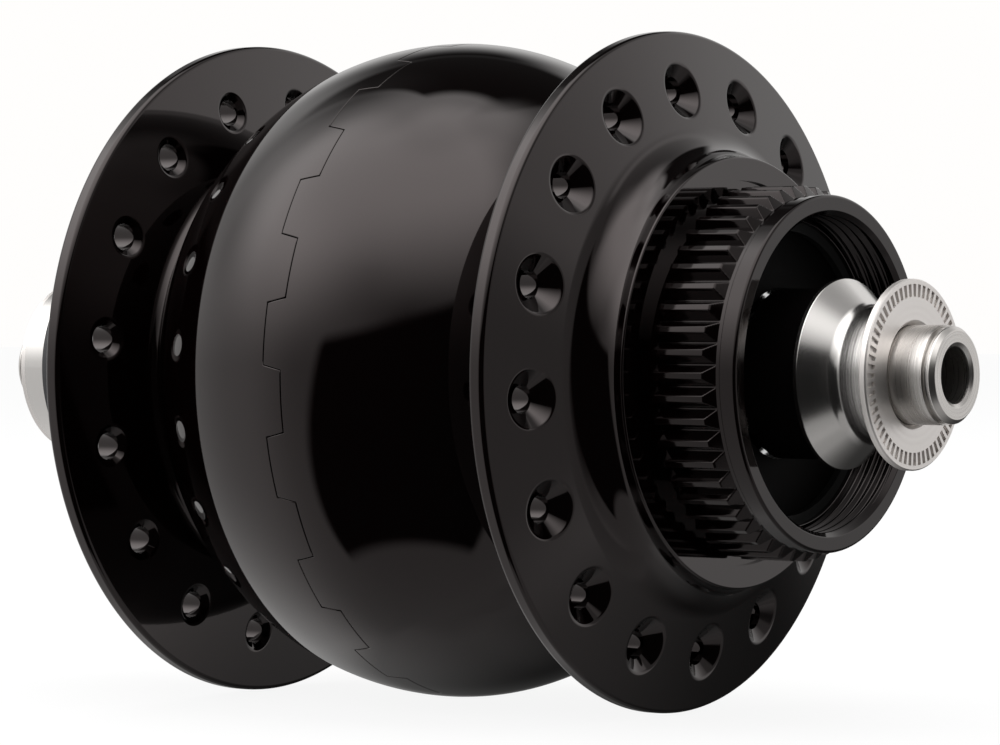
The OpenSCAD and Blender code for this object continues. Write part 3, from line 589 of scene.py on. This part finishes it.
print("a rim is", RIM_W, "wide")

# %% [markdown]
# ## The splined disc mount
# A splined brake disc slides over 52 teeth and a lock ring screws into the lip. Each tooth is a ridge
# with straight flanks, radius against angle, and it fades out at its front end, where the cutter ran
# out. The thread in the lip is a helix: the radius follows a rounded triangle wave of the place plus
# one pitch for each turn.

# %% Teeth
TEETH, ROOT_R, TOOTH_H = 52, 16.2, 1.0
TOOTH_FOOT, TOOTH_FLANK = 0.46, 0.32
SPLINE_FROM, SPLINE_TO, BEVEL = 32.8, 39.2, 0.8


def spline():
    """Radius is the root plus the smaller of the tooth's height at this angle and the run-out here."""
    angle = np.linspace(0, 2 * math.pi, TEETH * 30 + 1)
    spot = np.abs((angle / (2 * math.pi) * TEETH + 0.5) % 1 - 0.5)
    tooth = np.clip((TOOTH_FOOT - spot) / TOOTH_FLANK, 0, 1)
    place = np.concatenate([[SPLINE_FROM], SPLINE_FROM + np.array([0.04, 0.12, 0.25, 0.5]),
                            np.linspace(SPLINE_FROM + 1, SPLINE_TO - BEVEL - 0.1, 5),
                            np.linspace(SPLINE_TO - BEVEL, SPLINE_TO, 7)])
    start = np.clip((place - SPLINE_FROM) / 0.25, 0, 1) ** 0.5
    runout = np.clip((SPLINE_TO - place) / BEVEL, 0, 1)
    height = np.minimum(tooth[None] * start[:, None], runout[:, None])
    points = round_axle(ROOT_R + TOOTH_H * height, place[:, None], angle[None])
    return grid(points, measured_normals(points, round_axle(1, 0, angle)[None]))


print(TEETH, "teeth")

# %% Thread
THREAD_R, THREAD_DEPTH, THREAD_PITCH, THREAD_FROM, THREAD_TO = 14.5, 0.42, 1.0, 37.1, 40.9
RUN_IN, RUN_OUT, ROWS_TO_A_PITCH = 0.5, 0.3, 14


def smooth(value):
    """Three times the square less two times the cube, of the value held between 0 and 1."""
    value = np.clip(value, 0, 1)
    return value * value * (3 - 2 * value)


def thread():
    """Radius is the bore's plus the depth times a rounded triangle wave, which fades out at both ends."""
    rows = int((THREAD_TO - THREAD_FROM) / THREAD_PITCH * ROWS_TO_A_PITCH) + 1
    place = np.linspace(THREAD_FROM, THREAD_TO, rows)[:, None]
    phase = (place / THREAD_PITCH + FULL_TURN[None] / (2 * math.pi)) % 1
    wave = smooth(1.25 * (1 - np.abs(2 * phase - 1)) - 0.1)
    fade = smooth((place - THREAD_FROM) / RUN_IN) * smooth((THREAD_TO - place) / RUN_OUT)
    points = round_axle(THREAD_R + THREAD_DEPTH * wave * fade, place, FULL_TURN[None])
    return grid(points, measured_normals(points, -round_axle(1, 0, FULL_TURN)[None]))


print("the thread has a pitch of", THREAD_PITCH)

# %% Disc-side half of the shell
DISC_RIM_R, DISC_RIM_AT, DISC_FILLET = 31.8, 23.4, 0.5
BOSS_R, SEAT_AT, RECESS_R, RECESS_AT, BOSS_FILLET = 20, 31.8, 17.8, 31.4, 4
BORE_R, SNAP_R, SNAP_TO, SNAP_FROM, BORE_FROM = 14.02, 14.52, 36.62, 35.88, 30

disc_crown = crown_arc(DISC_BAND_AT - CROWN_AT, DISC_CROWN_R) + [0, CROWN_AT, 0, 0]
disc_flange, disc_face = flange(DISC_RIM_R, DISC_RIM_AT, tuple(disc_crown[-1, :2]), DISC_FILLET, SPOKE_TURN,
                                HOLED_FROM_R)
boss = outline([(HOLED_FROM_R, disc_face(HOLED_FROM_R)), (BOSS_R, disc_face(BOSS_R), BOSS_FILLET),
                (BOSS_R, SEAT_AT, 0.2), (RECESS_R, SEAT_AT), (RECESS_R, RECESS_AT), (ROOT_R, RECESS_AT),
                (ROOT_R, SPLINE_FROM)], 14)
bore = outline([(THREAD_R, THREAD_FROM), (BORE_R, THREAD_FROM, 0.1), (BORE_R, SNAP_TO), (SNAP_R, SNAP_TO),
                (SNAP_R, SNAP_FROM), (BORE_R, SNAP_FROM), (BORE_R, BORE_FROM)])
disc_patches = keyed_band(1, DISC_BAND_AT, DISC_CROWN_R)
disc_patches += [lathe(disc_crown), lathe(boss), lathe(bore)] + disc_flange
make_piece("disc_half", disc_patches, gloss_black, "shell", ["shell_disc_side"])

# %% Spline and lip
LIP_FROM, LIP_R, LIP_TO, LIP_BORE_R = 39.6, 16.35, 41.3, 14.9

lip = outline([(ROOT_R, SPLINE_TO), (ROOT_R, LIP_FROM), (LIP_R, LIP_FROM, 0.1), (LIP_R, LIP_TO, 0.3),
               (LIP_BORE_R, LIP_TO, 0.15), (THREAD_R, THREAD_TO)], 8)
make_piece("disc_spline", [spline()], spline_black, "shell")
make_piece("lock_ring_lip", [lathe(lip), thread()], spline_black, "shell")

# %% Drive-side half of the shell
# It is drawn as if it were on the +Y side, then mirrored, except for the joint, which is drawn in
# place.
DRIVE_RIM_R, DRIVE_RIM_AT, DRIVE_FILLET = 32.1, 24.2, 1.0
DRIVE_BOSS_R, DRIVE_BOSS_TO, DRIVE_HOLED_FROM_R, DRIVE_BORE_FROM = 17, 36.4, 21.3, 33

drive_crown = crown_arc(CROWN_AT - DRIVE_BAND_AT, DRIVE_CROWN_R) - [0, CROWN_AT, 0, 0]
drive_flange, drive_face = flange(DRIVE_RIM_R, DRIVE_RIM_AT, tuple(drive_crown[-1, :2]), DRIVE_FILLET,
                                  SPOKE_TURN + PITCH / 2, DRIVE_HOLED_FROM_R)
drive_boss = outline([(DRIVE_HOLED_FROM_R, drive_face(DRIVE_HOLED_FROM_R)),
                      (DRIVE_BOSS_R, drive_face(DRIVE_BOSS_R), BOSS_FILLET),
                      (DRIVE_BOSS_R, DRIVE_BOSS_TO, 1), (BORE_R, DRIVE_BOSS_TO, 0.1),
                      (BORE_R, DRIVE_BORE_FROM)], 12)
drive_patches = keyed_band(-1, DRIVE_BAND_AT, DRIVE_CROWN_R)
drive_patches += [mirrored(patch) for patch in [lathe(drive_crown), lathe(drive_boss)] + drive_flange]
make_piece("drive_half", drive_patches, gloss_black, "shell", ["shell_drive_side"])

# %% [markdown]
# ## Steel end pieces
# The end cap flares out to a thin rim that hides the bearing. The washer outside it bites into the fork
# with a ring of serrations, and the axle's end stands out of both. Each is a lathe profile. The
# serrations are pits in the washer's face, so the face is a grid whose columns fall on the edges of
# every pit, with flat quads.

# %% End cap and its sleeve
# The cap's tube runs from the flare into the deep bore. It lies in deep shade there, so it is drawn as a
# separate sleeve in the near-black rubber finish: painted shade on a steel tube.
LOCK_FACE, WASHER_W, WASHER_R, AXLE_R = 50.0, 0.7, 8.65, 4.5
WASHER_BACK = LOCK_FACE - WASHER_W
SLEEVE_R, SLEEVE_FROM, CAP_FROM = 7.8, 36.4, 42.0
CAP_RIM_R, CAP_RIM_AT, CAP_RIM_W, CAP_NECK_R, CAP_NECK_AT, CAP_FILLET = 8.7, 42.5, 0.4, 6.2, 45.3, 1.4

cap = outline([(SLEEVE_R, CAP_FROM), (CAP_RIM_R - 0.15, CAP_RIM_AT - 0.08, 0.08),
               (CAP_RIM_R, CAP_RIM_AT, 0.06), (CAP_RIM_R, CAP_RIM_AT + CAP_RIM_W, 0.12),
               (CAP_NECK_R, CAP_NECK_AT, CAP_FILLET), (CAP_NECK_R, WASHER_BACK)], 8)
make_piece("cap", [lathe(cap)], cap_steel, "stator", ["end_cap"])
sleeve = outline([(SLEEVE_R, SLEEVE_FROM), (SLEEVE_R, CAP_FROM)])
make_piece("cap_sleeve_painted_shade", [lathe(sleeve)], black_rubber_and_painted_shade, "stator")

# %% The face of a serrated washer
SERRATIONS, PIT_HALF_W, PIT_FROM_R, PIT_TO_R, PIT_DEPTH = 60, 0.2, 7.05, 8.15, 0.25
EDGE_W = 0.12


def serrated_face():
    """A flat ring at the locking face. Points between a pit's two radii and two angles sink by its depth."""
    inside = PIT_HALF_W / ((PIT_FROM_R + PIT_TO_R) / 2)
    offsets = inside * np.array([-1, -1, -0.5, 0, 0.5, 1, 1]) + np.array([-0.004, 0, 0, 0, 0, 0, 0.004])
    starts = np.arange(SERRATIONS)[:, None] * 2 * math.pi / SERRATIONS
    angle = np.concatenate([(starts + offsets[None]).ravel(), [2 * math.pi + offsets[0]]])
    sunk = np.concatenate([np.tile([0, 1, 1, 1, 1, 1, 0], SERRATIONS), [0]])
    radius = np.array([AXLE_R + 0.45, PIT_FROM_R - 1, PIT_FROM_R - 0.03, PIT_FROM_R, PIT_FROM_R + 0.3,
                       PIT_TO_R - 0.3, PIT_TO_R, PIT_TO_R + 0.03, WASHER_R - EDGE_W])
    row = np.array([0, 0, 0, 1, 1, 1, 1, 0, 0])
    place = LOCK_FACE - PIT_DEPTH * row[:, None] * sunk[None]
    points, normals, quads = facets(round_axle(radius[:, None], place, angle[None]))
    return points, normals * np.sign(normals[:, 1:2] + 0.5), quads


print(SERRATIONS, "serrations")

# %% Both washers
washer_edge = outline([(WASHER_R - EDGE_W, LOCK_FACE), (WASHER_R, LOCK_FACE - EDGE_W),
                       (WASHER_R, WASHER_BACK + 0.1), (WASHER_R - 0.1, WASHER_BACK), (AXLE_R, WASHER_BACK)],
                      4, -1)
washer_bore = outline([(AXLE_R + 0.45, LOCK_FACE), (AXLE_R + 0.35, LOCK_FACE - 0.05),
                       (AXLE_R, LOCK_FACE - 0.4), (AXLE_R, WASHER_BACK)], 4)
washer = [serrated_face(), lathe(washer_edge), lathe(washer_bore)]
far_washer = [mirrored(patch) for patch in washer]
make_piece("washer_near", washer, washer_steel, "stator", ["washer_disc"])
make_piece("washer_far", far_washer, washer_steel, "stator", ["washer_drive"])

# %% Axle ends
# They lie over the CAD axle, 0.02 mm proud of its end face, and the axle's own node stays.
AXLE_TO, SKEWER_R, UNDERCUT_R, UNDERCUT_FROM, UNDERCUT_TO = 54.42, 2.6, 4.05, 53.2, 53.8
TIP_R, TIP_AT, CHAMFER_R, CHAMFER_AT, THREAD_START_AT, BORE_SEEN_TO = 4.02, 54.0, 2.95, 54.15, 49.0, 20

axle_end = outline([(AXLE_R - 0.1, THREAD_START_AT), (AXLE_R, LOCK_FACE + 0.05),
                    (AXLE_R, UNDERCUT_FROM, 0.1), (UNDERCUT_R + 0.07, UNDERCUT_FROM + 0.08),
                    (UNDERCUT_R, UNDERCUT_FROM + 0.12), (UNDERCUT_R, UNDERCUT_TO - 0.1),
                    (UNDERCUT_R + 0.07, UNDERCUT_TO - 0.06), (AXLE_R - 0.1, UNDERCUT_TO, 0.08),
                    (AXLE_R - 0.1, TIP_AT, 0.15), (TIP_R, AXLE_TO, 0.12), (CHAMFER_R, AXLE_TO, 0.1),
                    (SKEWER_R, CHAMFER_AT), (SKEWER_R, BORE_SEEN_TO)], 6)
near_end = lathe(axle_end)
make_piece("axle_ends", [near_end, mirrored(near_end)], axle_steel, "stator")

# %% [markdown]
# ## Light, floor and background
# The photograph was taken in a white surround with a large bank of light overhead and a dark gap where the
# camera stood. The black shell shows each of these as a patch, so the world holds them as soft-edged
# patches of brightness laid out by compass angle and height. Reflections see the patches, and so does the
# part of the light that is sampled straight from the world. A diffuse ray that leaves the scene sees one
# even level, and the camera sees white. Two plain lamps add light from above and from the side.

# %% A patch of the studio


def patch_group():
    """1 where the compass angle and the height both lie inside the patch's limits, eased to 0 outside."""
    inputs = {"Compass": 0.0, "Height": 0.0, "Centre": 0.0, "Half": 30.0, "Low": 0.0, "High": 30.0,
              "Soft": 5.0, "Slant": 0.0, "Rise": 0.0}
    tree, inside, outside = new_group("studio_patch", inputs, {"Mask": "NodeSocketFloat"})
    i = inside.outputs
    leaning = math_node(tree, "SUBTRACT", i["Compass"], math_node(tree, "MULTIPLY", i["Slant"], i["Height"]))
    # Three and a half turns keep the sum above 0. Its remainder less half a turn lies within 180 either way.
    turn = math_node(tree, "ADD", math_node(tree, "SUBTRACT", leaning, i["Centre"]), 3.5 * 360)
    signed = math_node(tree, "SUBTRACT", math_node(tree, "MODULO", turn, 360), 180)
    offset = math_node(tree, "ABSOLUTE", signed)
    top = math_node(tree, "MULTIPLY_ADD", i["Rise"], signed, i["High"])

    def ease(value):
        node = tree.nodes.new("ShaderNodeMapRange")
        node.interpolation_type = "SMOOTHSTEP"
        tree.links.new(value, node.inputs["Value"])
        tree.links.new(math_node(tree, "MULTIPLY", i["Soft"], -1), node.inputs["From Min"])
        tree.links.new(i["Soft"], node.inputs["From Max"])
        return node.outputs["Result"]

    sides = ease(math_node(tree, "SUBTRACT", i["Half"], offset))
    bottom_side = ease(math_node(tree, "SUBTRACT", i["Height"], i["Low"]))
    top_side = ease(math_node(tree, "SUBTRACT", top, i["Height"]))
    mask = math_node(tree, "MULTIPLY", math_node(tree, "MULTIPLY", sides, bottom_side), top_side)
    tree.links.new(mask, outside.inputs["Mask"])
    return tree


PATCH = patch_group()
print("node group", PATCH.name)

# %% Compass and height of a reflected ray
DEGREES = 180 / math.pi
world = bpy.data.worlds.new("studio")
bpy.context.scene.world = world
world.use_nodes = True
sky = world.node_tree
sky.nodes.clear()
place = sky.nodes.new("ShaderNodeTexCoord")
parts = sky.nodes.new("ShaderNodeSeparateXYZ")
sky.links.new(place.outputs["Generated"], parts.inputs[0])
x, y, z = parts.outputs
bearing = math_node(sky, "ARCTAN2", x, math_node(sky, "MULTIPLY", y, -1))
compass = math_node(sky, "MULTIPLY", bearing, DEGREES)
height = math_node(sky, "MULTIPLY", math_node(sky, "ARCSINE", z), DEGREES)
print("compass 0 looks along -Y and compass 90 along +X")

# %% The studio, patch by patch
# Each row is a patch's name, compass centre, half width, low and high limit, softness, brightness, lean
# with height, and rise of its top edge with the compass. A later patch covers the ones before it. The
# camera stands at compass 126. The rows' numbers come from a fit to the reflections in the photograph.
# The bank's brightness isn't one number: it gains BANK_GAIN with each degree of height, within limits.
BASE_LEVEL = 0.4
BANK_GAIN, BANK_START, BANK_LEAST, BANK_MOST = 0.037, -1.25, 0.01, 1.99
rising = math_node(sky, "MULTIPLY_ADD", height, BANK_GAIN, BANK_START)
bank = math_node(sky, "MINIMUM", math_node(sky, "MAXIMUM", rising, BANK_LEAST), BANK_MOST)
STUDIO = (
    ("backdrop behind the hub", 306, 91, -40, 26, 30, 2.1, 0.3, 0),
    ("floor on the right", 239, 62, -79, -14, 6, 0.47, -0.6, 0),
    ("wall on the left", 8, 48, -51, 84, 30, 0.73, 0, 0),
    ("strip on the right", 219, 73, 29, 33, 5, 1.3, -0.15, 0),
    ("bank that brightens upwards", 84, 134, 24, 120, 11, bank, -0.6, 0),
    ("lamp high on the left", 27, 49, 28, 57, 28.5, 4.1, 0, 0),
    ("dark above the backdrop", 328, 34, 36, 69, 3, 0.029, -0.6, 0),
    ("dark below the backdrop", 280, 49, -63, 15, 30, 0.04, 0.25, 0),
    ("lamp almost overhead", 168, 51, 71, 78, 17, 4.1, 0.6, 0),
    ("dark beside the lamp", 15, 21, 18, 61, 15.5, 0.093, -0.6, 0),
    ("dark above the camera", 144, 38, -31, 61, 14, 0.014, 0.15, 0),
    ("large soft lamp overhead", 59, 94, 37, 104, 26.5, 2.7, 0.6, 0),
    ("grey beside the camera", 195, 14, -70, 38, 4, 0.36, -0.2, 0),
    ("dark round the camera", 126, 49, -59, 20, 3, 0.013, 0.3, 0.2),
    ("top of the studio", 0, 400, 79, 140, 6, 2.4, 0, 0),
)
level = BASE_LEVEL
for name, centre, half, low, high, soft, bright, slant, rise in STUDIO:
    node = sky.nodes.new("ShaderNodeGroup")
    node.node_tree = PATCH
    node.label = name
    values = {"Centre": centre, "Half": half, "Low": low, "High": high, "Soft": soft, "Slant": slant,
              "Rise": rise}
    for label, value in values.items():
        node.inputs[label].default_value = value
    sky.links.new(compass, node.inputs["Compass"])
    sky.links.new(height, node.inputs["Height"])
    mask = node.outputs["Mask"]
    left = math_node(sky, "MULTIPLY", level, math_node(sky, "SUBTRACT", 1, mask))
    level = math_node(sky, "ADD", left, math_node(sky, "MULTIPLY", mask, bright))
print(len(STUDIO), "patches")

# %% What each kind of ray sees
EVEN_LEVEL = 0.75
WHITE_SURROUND = (1, 0.99, 0.98, 1)
ray = sky.nodes.new("ShaderNodeLightPath")
diffuse = ray.outputs["Is Diffuse Ray"]
seen = math_node(sky, "MAXIMUM", ray.outputs["Is Camera Ray"], ray.outputs["Is Transmission Ray"])
even = math_node(sky, "MULTIPLY", EVEN_LEVEL, diffuse)
mirrored_level = math_node(sky, "MULTIPLY", level, math_node(sky, "SUBTRACT", 1, diffuse))
light = math_node(sky, "ADD", even, mirrored_level)
unseen = math_node(sky, "MULTIPLY", light, math_node(sky, "SUBTRACT", 1, seen))
background = sky.nodes.new("ShaderNodeBackground")
background.inputs["Color"].default_value = WHITE_SURROUND
output = sky.nodes.new("ShaderNodeOutputWorld")
sky.links.new(math_node(sky, "ADD", unseen, seen), background.inputs["Strength"])
sky.links.new(background.outputs[0], output.inputs[0])
print("the world has", len(sky.nodes), "nodes")

# %% Lamps
# A lamp or a camera looks along its own -Z, so its Z axis points back from what it looks at. Each lamp has
# a spot and a size in metres, and a power in watts.
LAMPS = {"overhead": ((-0.1, -0.15, 0.9), 0.9, 9.0), "side": ((0.75, -0.35, 0.45), 0.6, 3.0)}


def aimed(back, right, spot):
    """A matrix with `right` as X, `back` as Z and their cross product as Y, placed at a spot."""
    pose = np.eye(4)
    pose[:3, :3] = np.stack([right, np.cross(back, right), back], 1)
    pose[:3, 3] = spot
    return Matrix(pose.tolist())


for name, (spot, size, power) in LAMPS.items():
    lamp = bpy.data.lights.new(name, "AREA")
    lamp.shape, lamp.size, lamp.energy = "SQUARE", size, power
    holder = bpy.data.objects.new(name, lamp)
    back = np.array(spot) / np.linalg.norm(spot)
    right = np.cross((0, 1, 0.001), back)
    holder.matrix_world = aimed(back, right / np.linalg.norm(right), spot)
    holder.visible_glossy = False
    bpy.context.scene.collection.objects.link(holder)
print(len(LAMPS), "soft lamps")

# %% Floor paint
# The camera sees the floor almost white, with a little of its paint, which holds the shadow.
# Reflections pass through it to the studio's patches.
GLOW_SHARE = 0.9
white = bpy.data.materials.new("floor_white")
white.use_nodes = True
tree = white.node_tree
tree.nodes.clear()
paint = tree.nodes.new("ShaderNodeBsdfDiffuse")
paint.inputs["Color"].default_value = (0.8, 0.8, 0.8, 1)
glow = tree.nodes.new("ShaderNodeEmission")
glow.inputs["Color"].default_value = (1, 1, 1, 1)
clear = tree.nodes.new("ShaderNodeBsdfTransparent")
path = tree.nodes.new("ShaderNodeLightPath")
lit = tree.nodes.new("ShaderNodeMixShader")
whole = tree.nodes.new("ShaderNodeMixShader")
tree.links.new(math_node(tree, "MULTIPLY", path.outputs["Is Camera Ray"], GLOW_SHARE), lit.inputs[0])
tree.links.new(paint.outputs[0], lit.inputs[1])
tree.links.new(glow.outputs[0], lit.inputs[2])
through = math_node(tree, "MAXIMUM", path.outputs["Is Glossy Ray"], path.outputs["Is Transmission Ray"])
tree.links.new(through, whole.inputs[0])
tree.links.new(lit.outputs[0], whole.inputs[1])
tree.links.new(clear.outputs[0], whole.inputs[2])
out = tree.nodes.new("ShaderNodeOutputMaterial")
tree.links.new(whole.outputs[0], out.inputs[0])
print("material", white.name)

# %% Floor
REACH, FLOOR_AT = 3.0, -DRIVE_RIM_R * MM - 0.00002
floor_mesh = bpy.data.meshes.new("floor")
corners = [(x * REACH, y * REACH, FLOOR_AT) for x, y in ((-1, -1), (1, -1), (1, 1), (-1, 1))]
floor_mesh.from_pydata(corners, [], [(0, 1, 2, 3)])
floor_mesh.materials.append(white)
floor = bpy.data.objects.new("floor", floor_mesh)
bpy.context.scene.collection.objects.link(floor)
floor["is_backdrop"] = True
print("floor at", FLOOR_AT)

# %% Camera
# It looks level from beyond the disc side. A long lens this near gives the photograph's perspective.
AZIMUTH, ELEVATION, DISTANCE = math.radians(126.22), math.radians(0.788), 0.42275
LENS, SENSOR_W, SHIFT_X, SHIFT_Y, NEAREST = 157.33, 36, 0.03365, -0.0022, 0.01
back = np.array([math.sin(AZIMUTH) * math.cos(ELEVATION), -math.cos(AZIMUTH) * math.cos(ELEVATION),
                 math.sin(ELEVATION)])
right = np.array([math.cos(AZIMUTH), math.sin(AZIMUTH), 0])
camera_data = bpy.data.cameras.new("camera")
camera_data.lens, camera_data.sensor_width = LENS, SENSOR_W
camera_data.shift_x, camera_data.shift_y = SHIFT_X, SHIFT_Y
camera_data.clip_start = NEAREST
camera = bpy.data.objects.new("camera", camera_data)
camera.matrix_world = aimed(back, right, back * DISTANCE)
bpy.context.scene.collection.objects.link(camera)
bpy.context.scene.camera = camera
bpy.context.scene.view_settings.view_transform = "Standard"
print("camera at", camera.matrix_world.translation)

# %% Sizes of the CAD part and of the new pieces
new_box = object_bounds()


def plain_list(value):
    """Nested lists of plain numbers, from any nested sequence."""
    return [plain_list(v) for v in value] if hasattr(value, "__len__") else float(value)


{"cad": plain_list(cad_box), "visual": plain_list(new_box)}
print("visual box", new_box)
